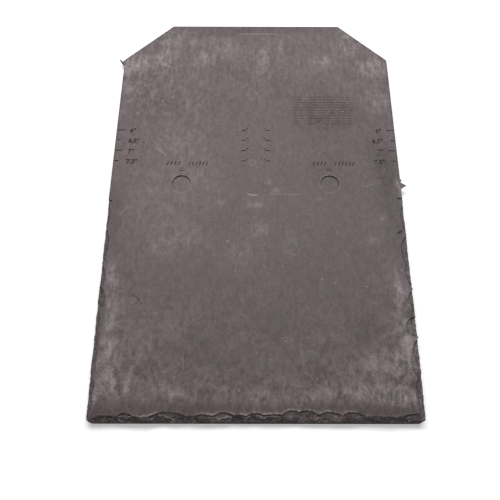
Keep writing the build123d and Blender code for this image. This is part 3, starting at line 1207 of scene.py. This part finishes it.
# Dark stains in the same way
STAINS = (
    (0, 217, 78, 7, 0.9),
    (0, -161, 9, 8, 0.4),
    (21, -175, 9, 8, 0.3),
    (20, -40, 30, 8, 0.2),
    (40, -191, 9, 7, 0.3),
    (-80, 140, 9, 8, 0.3),
    (-42, 209, 24, 4, 0.7),
    (-118, 190, 4, 8, 0.3),
    (80, 106, 34, 25, 0.85),
    (50, 110, 7, 18, 0.45),
    (75, 88, 28, 7, 0.45),
    (80, 78, 40, 24, 0.35),
    (118, 55, 14, 18, 0.35),
    (70, 136, 12, 9, 0.5),
    (-45, 160, 16, 10, 0.6),
    (-20, 154, 14, 8, 0.5),
    (-38, 117, 24, 17, 0.35),
    (-90, 118, 18, 12, 0.35),
    (22, 140, 10, 18, 0.5),
    (-118, 181, 8, 5, 0.4),
    (-134, 154, 2.4, 10, 0.6),
    (126, 180, 9, 7, 0.4),
    (-115, 92, 9, 7, 0.35),
    (134, 40, 13, 34, 0.75),
    (141, 5, 13, 50, 0.85),
    (112, 96, 8, 14, 0.35),
    (60, 28, 26, 14, 0.35),
    (82, 43, 16, 11, 0.35),
    (90, 10, 34, 24, 0.2),
    (-146, -14, 9, 18, 1.0),
    (-147, -48, 8, 26, 0.6),
    (146, -60, 8, 26, 0.5),
    (105, -140, 14, 14, 0.6),
    (-30, -125, 100, 70, 0.12),
    (85, -115, 70, 80, 0.28),
    (30, -128, 30, 14, 0.25),
    (-52, -155, 24, 15, 0.5),
    (-88, -150, 14, 16, 0.3),
    (-15, -174, 32, 16, 0.4),
    (15, -146, 14, 10, 0.35),
    (50, -178, 12, 8, 0.2),
    (-116, -214, 40, 8, 1.3),
    (-127, -203, 26, 6, 0.6),
    (126, -214, 22, 4.5, 1.1),
    (-55, -210.5, 30, 6, 0.9),
    (25, -211, 40, 4.5, 0.6),
    (105, -210, 34, 6.5, 1.0),
    (0, -210, 150, 6, 0.35),
    (-20, -209, 14, 5, 0.5),
    (62, -209, 16, 5, 0.5),
    (142, -190, 4, 12, 0.4),
    (-146, -120, 3, 30, 0.6),
)
# Warmer parts of the face in the same way
WARM_PARTS = (
    (-45, 70, 55, 60, 1.0),
    (85, 70, 45, 40, 0.6),
    (-30, 150, 25, 14, 0.8),
    (0, 212, 60, 8, 0.7),
    (75, 105, 45, 25, 0.4),
    (-145, 55, 16, 40, 0.5),
    (0, -213, 160, 6, 0.6),
    (-130, -212, 30, 8, 0.7),
)
TOPSIDE_FACING = -0.2
topside = (upward > TOPSIDE_FACING).astype(float)


def patches(table):
    """Soft oval patches, each with its own strength, added up over the upper side."""
    return sum(strength * oval(*place) for *place, strength in table) * topside


store(
    {
        "lips": lips,
        "flakes": flakes,
        "crease_shade": crease_shade,
        "body": body,
        "painted_shade": painted_shade,
        "wear": wear,
        "streaked": streaked,
        "topside": topside,
        "scuffs": patches(SCUFFS),
        "stains": patches(STAINS),
        "warmth": patches(WARM_PARTS),
    }
)

# %% [markdown]
# ## Slate composite
# One material covers the whole tile. Its ground is a warm dark grey, and pale dust lies over it in clouds,
# blotches and flecks, so the tone is skewed to the pale side as on a handled tile. Three small node groups
# make marks that are used many times: a scratch is a soft line between two points, a ring is a pale broken
# circle, and hairlines are a field of fine short rubs in one direction.

# %% Scratch and ring groups
FLAT = (1, 1, 0)
SCRATCH_LUMP = 2.5 * MM
SCRATCH_LEFT = (0.3, 0.5)
RING_LUMP = 4 * MM
RING_LEFT = (0.35, 0.6)


def broken_line(tree, given, gap, lump, left):
    """A soft line of the group's half width, broken by noise so that only some parts are left."""
    outer = sums(tree, "MULTIPLY", given["Half width"], 2.0)
    line = ramp(tree, gap, outer, given["Half width"])
    return sums(tree, "MULTIPLY", line, ramp(tree, noise(tree, given["Place"], lump, 2), *left))


scratch, given, result = new_tree(
    "scratch",
    "ShaderNodeTree",
    {
        "Place": ("vector", None),
        "Start": ("vector", None),
        "End": ("vector", None),
        "Half width": ("value", 0.4 * MM),
    },
    {"Mask": "value"},
)
from_start = vectors(scratch, "SUBTRACT", vectors(scratch, "MULTIPLY", given["Place"], FLAT), given["Start"])
run = vectors(scratch, "SUBTRACT", given["End"], given["Start"])
part = measured(scratch, "DOT_PRODUCT", from_start, run)
whole = measured(scratch, "DOT_PRODUCT", run, run)
share = add(scratch, "ShaderNodeClamp", {"Value": sums(scratch, "DIVIDE", part, whole)}).outputs[0]
gap = measured(scratch, "DISTANCE", from_start, scaled(scratch, run, share))
scratch.links.new(broken_line(scratch, given, gap, SCRATCH_LUMP, SCRATCH_LEFT), result["Mask"])
print("scratch:", len(scratch.nodes), "nodes")

ring_mark, given, result = new_tree(
    "ring_mark",
    "ShaderNodeTree",
    {
        "Place": ("vector", None),
        "Centre": ("vector", None),
        "Radius": ("value", 3 * MM),
        "Half width": ("value", 0.4 * MM),
    },
    {"Mask": "value"},
)
level = vectors(ring_mark, "MULTIPLY", given["Place"], FLAT)
gap = measured(ring_mark, "DISTANCE", level, given["Centre"])
gap = sums(ring_mark, "ABSOLUTE", sums(ring_mark, "SUBTRACT", gap, given["Radius"]))
ring_mark.links.new(broken_line(ring_mark, given, gap, RING_LUMP, RING_LEFT), result["Mask"])
print("ring mark:", len(ring_mark.nodes), "nodes")

# %% Hairline group
HAIR_WIDTH = 1.1 * MM
HAIR_STRETCH = 0.1
HAIR_PATCH = 18 * MM
hairlines, given, result = new_tree(
    "hairlines",
    "ShaderNodeTree",
    {"Place": ("vector", None), "Turn": ("value", 0.0)},
    {"Mask": "value"},
)
turn_place = {"Vector": given["Place"], "Angle": given["Turn"]}
turned = add(hairlines, "ShaderNodeVectorRotate", turn_place, rotation_type="Z_AXIS").outputs[0]
stretched = vectors(hairlines, "MULTIPLY", turned, (1, HAIR_STRETCH, 0))
lines = ramp(hairlines, noise(hairlines, stretched, HAIR_WIDTH, 1), 0.62, 0.76)
patch = ramp(hairlines, noise(hairlines, turned, HAIR_PATCH, 3), 0.45, 0.65)
hairlines.links.new(sums(hairlines, "MULTIPLY", lines, patch), result["Mask"])
print("hairlines:", len(hairlines.nodes), "nodes")

# %% Colours and helpers of the slate
FACE_COLOUR = (0.0940, 0.0704, 0.0729, 1)
SCUFF_COLOUR = (0.290, 0.247, 0.256, 1)
STAIN_COLOUR = (0.066, 0.0493, 0.0496, 1)
BODY_AND_SHADE_COLOUR = (0.0555, 0.0400, 0.0398, 1)
LIP_COLOUR = (0.400, 0.345, 0.350, 1)
DARK_AND_SHADE_COLOUR = (0.018, 0.014, 0.014, 1)

slate.use_nodes = True
tree = slate.node_tree
shader = tree.nodes["Principled BSDF"]


def painted(label):
    """Values painted on the skin's points."""
    return add(tree, "ShaderNodeAttribute", attribute_name=label).outputs["Fac"]


def blend(factor, base, over):
    """One colour over another by a factor."""
    made = add(tree, "ShaderNodeMix", {"Factor": factor, 6: base, 7: over}, data_type="RGBA")
    return made.outputs[2]


def times(value, amount):
    """A value scaled by an amount or by another value."""
    return sums(tree, "MULTIPLY", value, amount)


def total(*values):
    """The sum of several values."""
    summed = values[0]
    for value in values[1:]:
        summed = sums(tree, "ADD", summed, value)
    return summed


def sway(value, amount):
    """A noise swung about zero by an amount."""
    return times(sums(tree, "SUBTRACT", value, NOISE_MEAN), amount)


print("slate: face colour", FACE_COLOUR[:3])

# %% [markdown]
# ## Dust, scuffs and stains
# Handling leaves a mould-fresh tile cloudy: dust in lumps of several sizes, short rubs in all directions, and
# combed streaks near the head. Noise is read at a place that drifts a little, which keeps the lumps from
# looking even, and the painted values say where each kind is strong.

# %% Dust
DRIFT_LUMP = 26 * MM
DRIFT_REACH = 13 * MM
CLOUD_LUMP = 48 * MM
BLOTCH_LUMP = 10 * MM
GRAIN_LUMP = 4.5 * MM
FINE_LUMP = 1.4 * MM
GRAIN_SQUEEZE = (1, 0.6, 1)
CLOUD_WEIGHT = 0.05
BLOTCH_WEIGHT = 0.24
GRAIN_WEIGHT = 0.16
DUST_MEAN = 0.2
here = add(tree, "ShaderNodeTexCoord").outputs["Object"]
drift = noise(tree, here, DRIFT_LUMP, 1, output=1)
drift = vectors(tree, "SUBTRACT", drift, (NOISE_MEAN, NOISE_MEAN, NOISE_MEAN))
drift = scaled(tree, drift, DRIFT_REACH)
drifted = vectors(tree, "ADD", here, drift)
clouds = noise(tree, drifted, CLOUD_LUMP, 4, 0.65)
blotches = noise(tree, drifted, BLOTCH_LUMP, 5, 0.7)
grain = noise(tree, vectors(tree, "MULTIPLY", drifted, GRAIN_SQUEEZE), GRAIN_LUMP, 4, 0.7)
fine = noise(tree, here, FINE_LUMP, 2, 0.6)
dust = total(
    times(ramp(tree, clouds, 0.25, 0.75), CLOUD_WEIGHT),
    times(ramp(tree, blotches, 0.2, 0.8), BLOTCH_WEIGHT),
    times(ramp(tree, grain, 0.3, 0.8), GRAIN_WEIGHT),
)
dust = total(DUST_MEAN, times(sums(tree, "SUBTRACT", dust, DUST_MEAN), painted("wear")))
print("dust:", len(tree.nodes), "nodes so far")

# %% Rubs, streaks, scuffs and stains
HAIR_TURNS = (35, -40, 80, 10, -70)
HAIR_STRENGTH = 0.16
STREAK_LUMP = 3.4 * MM
STREAK_SQUEEZE = (1, 0.2, 1)
STREAK_DRIFT_SHARE = 0.2
STREAK_STRENGTH = 0.5
STAIN_COVER = 0.7
STAIN_LEAST = 0.25
SCUFF_COVER = 0.75
SCUFF_LEAST = 0.15
SCUFF_GRAIN_SHARE = 0.4
SCUFF_SWAY = 0.8
SPECK_LUMP = 4 * MM
SPECK_COVER = 0.5
for degrees in HAIR_TURNS:
    rubs = {"Place": drifted, "Turn": math.radians(degrees)}
    rubs = add(tree, "ShaderNodeGroup", rubs, node_tree=hairlines).outputs[0]
    dust = total(dust, times(rubs, HAIR_STRENGTH))
combed = vectors(tree, "ADD", here, scaled(tree, drift, STREAK_DRIFT_SHARE))
streaks = noise(tree, vectors(tree, "MULTIPLY", combed, STREAK_SQUEEZE), STREAK_LUMP, 3, 0.6)
dust = total(dust, times(painted("streaked"), sway(streaks, STREAK_STRENGTH)))
scuff_grain = total(
    times(grain, SCUFF_GRAIN_SHARE),
    times(streaks, 1 - SCUFF_GRAIN_SHARE),
    sway(blotches, SCUFF_SWAY),
)
scuffed = times(painted("scuffs"), ramp(tree, scuff_grain, 0.32, 0.7, SCUFF_LEAST))
stained = times(painted("stains"), ramp(tree, blotches, 0.3, 0.65, STAIN_LEAST))
stained = times(sums(tree, "MINIMUM", stained, 1.0), STAIN_COVER)
dust = times(dust, sums(tree, "SUBTRACT", 1.0, stained))
face = blend(stained, FACE_COLOUR, STAIN_COLOUR)
face = blend(total(dust, times(scuffed, SCUFF_COVER)), face, SCUFF_COLOUR)
specks = ramp(tree, noise(tree, here, SPECK_LUMP, 1), 0.74, 0.8)
face = blend(times(specks, SPECK_COVER), face, SCUFF_COLOUR)
print("face:", len(tree.nodes), "nodes so far")

# %% [markdown]
# ## Scratches, worn rings and painted seat highlights
# A few marks are plain enough to be placed one by one. Each is the scratch or the ring group with its own
# place and width, laid over the face in turn. The underside has none, so the painted upper side masks them.

# %% Scratches
# Ends in millimetres, half width in millimetres, and strength, pale above zero and dark below
SCRATCHES = (
    (-21, 210.7, 23, 210.9, 0.5, 0.5),
    (-8.6, 0.8, -4, 0.2, 0.4, 0.8),
    (-6.5, -0.3, 1.2, -0.6, 0.5, 0.9),
    (15, 0.3, 45, 0.4, 0.4, 0.35),
    (-139, -23, -130.6, -12.7, 0.35, 0.5),
    (-119, -106.5, -114, -109.5, 0.3, -0.6),
    (-114, -109.5, -109, -115.3, 0.4, -0.8),
    (142.5, -43.3, 147.9, -40.5, 0.7, -1.0),
    (-106.6, 54.7, -97, 47.5, 0.7, 0.5),
    (-109, 70, -101, 63, 0.5, 0.35),
    (-114.2, 159.2, -115, 153.5, 0.35, -0.5),
    (-114.2, 160.8, -115.4, 154, 0.35, 0.5),
    (-115.4, 154, -118.7, 151.6, 0.45, 0.8),
    (-142.4, 115.3, -141.6, 115.3, 0.8, 0.6),
    (-131.5, 99.5, -130.8, 99.5, 0.8, 0.6),
    (-105, 115.4, -104.2, 115.4, 0.7, 0.6),
    (-94, 121, -93, 120.4, 0.6, 0.5),
    (-28.8, -51, -27, -51.8, 0.5, 0.8),
    (108, -98, 108.6, -98, 0.4, 0.8),
    (114, 9.5, 131, 14, 0.6, 0.22),
    (117, 13.5, 133, 17, 0.5, 0.18),
    (27.8, -150.2, 28.4, -150.2, 0.4, 0.8),
    (41.5, -151, 44.2, -173, 0.6, 0.22),
    (49.7, -181.6, 57.5, -191, 0.5, 0.2),
    (64, -186, 68, -200.5, 0.7, 0.3),
    (-67, -163, -65.7, -175.5, 0.5, 0.2),
    (92.6, -200.5, 93.6, -200.5, 0.5, 0.9),
)
on_top = painted("topside")
for x0, y0, x1, y1, half_width, strength in SCRATCHES:
    line = {
        "Place": here,
        "Start": (x0 * MM, y0 * MM, 0),
        "End": (x1 * MM, y1 * MM, 0),
        "Half width": half_width * MM,
    }
    line = add(tree, "ShaderNodeGroup", line, node_tree=scratch).outputs[0]
    colour = SCUFF_COLOUR if strength > 0 else DARK_AND_SHADE_COLOUR
    face = blend(times(times(line, on_top), abs(strength)), face, colour)
print("scratches:", len(SCRATCHES))

# %% Worn rings and seat highlights
# A painted highlight round the rims of the nail seats, and worn marks where pins pushed the tile out of the
# mould: centre, radius and half width in millimetres, and strength
SEAT_HIGHLIGHT_MM = SEAT_RADIUS / MM + 0.5
RINGS = [(seat_x / MM, seat_y / MM, SEAT_HIGHLIGHT_MM, 0.35, 0.4) for seat_x in seat_places]
RINGS += [(-4, 52.5, 3, 0.5, 0.3), (-3.3, 37.5, 3.2, 0.6, 0.35)]
for x, y, radius, half_width, strength in RINGS:
    circle = {
        "Place": here,
        "Centre": (x * MM, y * MM, 0),
        "Radius": radius * MM,
        "Half width": half_width * MM,
    }
    circle = add(tree, "ShaderNodeGroup", circle, node_tree=ring_mark).outputs[0]
    face = blend(times(times(circle, on_top), strength), face, SCUFF_COLOUR)
print("rings:", len(RINGS))

# %% [markdown]
# ## Chips, painted shade and rubbed lips
# The chips show the dark body in facets and thin pale and dark beds, their steep faces and creases get
# painted shade, and their lips are rubbed pale; marks and recesses get painted shade too. Each coat is a
# painted value, broken up by a noise, over the coats before it.

# %% Coats over the face
FACET_LUMP = 3.5 * MM
FACET_SQUEEZE = (0.5, 1, 2)
STRATA_LUMP = 1.1 * MM
STRATA_SQUEEZE = (0.22, 0.8, 1)
SHADE_COVER = 0.9
FINE_CONTRAST = 0.78
GRAIN_CONTRAST = 0.3
WARM_TINT = (1.035, 0.98, 0.982)
facets = noise(tree, vectors(tree, "MULTIPLY", here, FACET_SQUEEZE), FACET_LUMP, 3, 0.6)
strata = noise(tree, vectors(tree, "MULTIPLY", here, STRATA_SQUEEZE), STRATA_LUMP, 3, 0.65)
# The body coat holds the plastic's darker body and the painted shade of steep chip faces; the crease_shade
# and painted_shade coats are painted shade
coats = (
    ("body", ramp(tree, facets, 0.35, 0.7, 1.0, 0.6), BODY_AND_SHADE_COLOUR),
    ("body", ramp(tree, strata, 0.53, 0.66, 0.0, 0.6), SCUFF_COLOUR),
    ("body", ramp(tree, strata, 0.47, 0.32, 0.0, 0.85), DARK_AND_SHADE_COLOUR),
    ("flakes", ramp(tree, blotches, 0.45, 0.62, 0.0, 0.8), LIP_COLOUR),
    ("crease_shade", ramp(tree, grain, 0.42, 0.56, 0.45, 1.0), DARK_AND_SHADE_COLOUR),
    ("painted_shade", SHADE_COVER, DARK_AND_SHADE_COLOUR),
    ("lips", ramp(tree, grain, 0.38, 0.62, 0.1, 0.75), LIP_COLOUR),
)
coated = face
for label, strength, colour in coats:
    coated = blend(times(painted(label), strength), coated, colour)
tinted = scaled(tree, coated, total(1.0, sway(fine, FINE_CONTRAST), sway(grain, GRAIN_CONTRAST)))
warmed = vectors(tree, "MULTIPLY", tinted, WARM_TINT)
tree.links.new(blend(painted("warmth"), tinted, warmed), shader.inputs["Base Color"])
print("coats:", len(coats))

# %% Gloss and bump
SPECULAR = 0.3
ROUGHNESSES = (0.58, 0.75)
BUMP_STRENGTH = 0.5
BUMP_DISTANCE = 0.15 * MM
tree.links.new(ramp(tree, blotches, 0.3, 0.7, *ROUGHNESSES), shader.inputs["Roughness"])
shader.inputs["Specular IOR Level"].default_value = SPECULAR
bump = {"Height": total(fine, grain), "Strength": BUMP_STRENGTH, "Distance": BUMP_DISTANCE}
bump = add(tree, "ShaderNodeBump", bump)
tree.links.new(bump.outputs[0], shader.inputs["Normal"])
print("slate:", len(tree.nodes), "nodes")

# %% [markdown]
# ## Finish the tile
# The skin takes the solid's place in the frame. Edges that turn sharply stay crisp, the rest is smooth.

# %% Ride and finish
SHARP_ANGLE = math.radians(32)
tile_mesh.materials.clear()
tile_mesh.materials.append(slate)
tile_mesh.shade_smooth()
tile_mesh.set_sharp_from_angle(angle=SHARP_ANGLE)
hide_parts("slate_tile")
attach(tile, "root")
tile_mesh.calc_loop_triangles()
print("tile:", len(tile_mesh.loop_triangles), "triangles")

# %% [markdown]
# ## Floor and light
# The tile lies on a pale sweep under one broad soft light from the head's side, so that the chips' risers,
# which face the butt, stay dark. The floor adds a little white of its own where the camera or a reflection
# sees it, which keeps the contact shadow and lets the rest of the floor go white.

# %% Floor
FLOOR_HALF = 3
FLOOR_Z = -0.05 * MM
FLOOR_GLOW = 0.27
FLOOR_COLOUR = (0.94, 0.94, 0.94, 1)
FLOOR_ROUGHNESS = 0.9
WHITE = (1, 1, 1, 1)
floor_mesh = bpy.data.meshes.new("floor")
floor_corners = [(-FLOOR_HALF, -FLOOR_HALF), (FLOOR_HALF, -FLOOR_HALF)]
floor_corners += [(FLOOR_HALF, FLOOR_HALF), (-FLOOR_HALF, FLOOR_HALF)]
floor_mesh.from_pydata([(x, y, FLOOR_Z) for x, y in floor_corners], [], [(0, 1, 2, 3)])
floor = new_object("floor", floor_mesh)
sweep = bpy.data.materials.new("pale_sweep")
sweep.use_nodes = True
tree = sweep.node_tree
shader = tree.nodes["Principled BSDF"]
shader.inputs["Base Color"].default_value = FLOOR_COLOUR
shader.inputs["Roughness"].default_value = FLOOR_ROUGHNESS
shader.inputs["Specular IOR Level"].default_value = 0.0
path = add(tree, "ShaderNodeLightPath").outputs
seen = sums(tree, "MAXIMUM", path["Is Glossy Ray"], path["Is Transmission Ray"])
seen = sums(tree, "MAXIMUM", path["Is Camera Ray"], seen)
shader.inputs["Emission Color"].default_value = WHITE
tree.links.new(sums(tree, "MULTIPLY", seen, FLOOR_GLOW), shader.inputs["Emission Strength"])
floor_mesh.materials.append(sweep)
print("floor:", 2 * FLOOR_HALF, "m square")

# %% Light
LAMP_PLACE = Vector((0, 1.22, 1.52))
LAMP_SIZE = (2.6, 0.5)
LAMP_POWER = 45
WORLD_LEVEL = 0.27
lamp_data = bpy.data.lights.new("softbox", "AREA")
lamp_data.shape = "RECTANGLE"
lamp_data.size, lamp_data.size_y = LAMP_SIZE
lamp_data.energy = LAMP_POWER
lamp = new_object("softbox", lamp_data)
lamp.location = LAMP_PLACE
lamp.rotation_euler = (-LAMP_PLACE).to_track_quat("-Z", "Y").to_euler()

world = bpy.data.worlds.new("studio")
world.use_nodes = True
sky = world.node_tree.nodes["Background"].inputs
sky["Color"].default_value = WHITE
sky["Strength"].default_value = WORLD_LEVEL
scene.world = world
print("light:", LAMP_POWER, "W lamp, world at", WORLD_LEVEL)
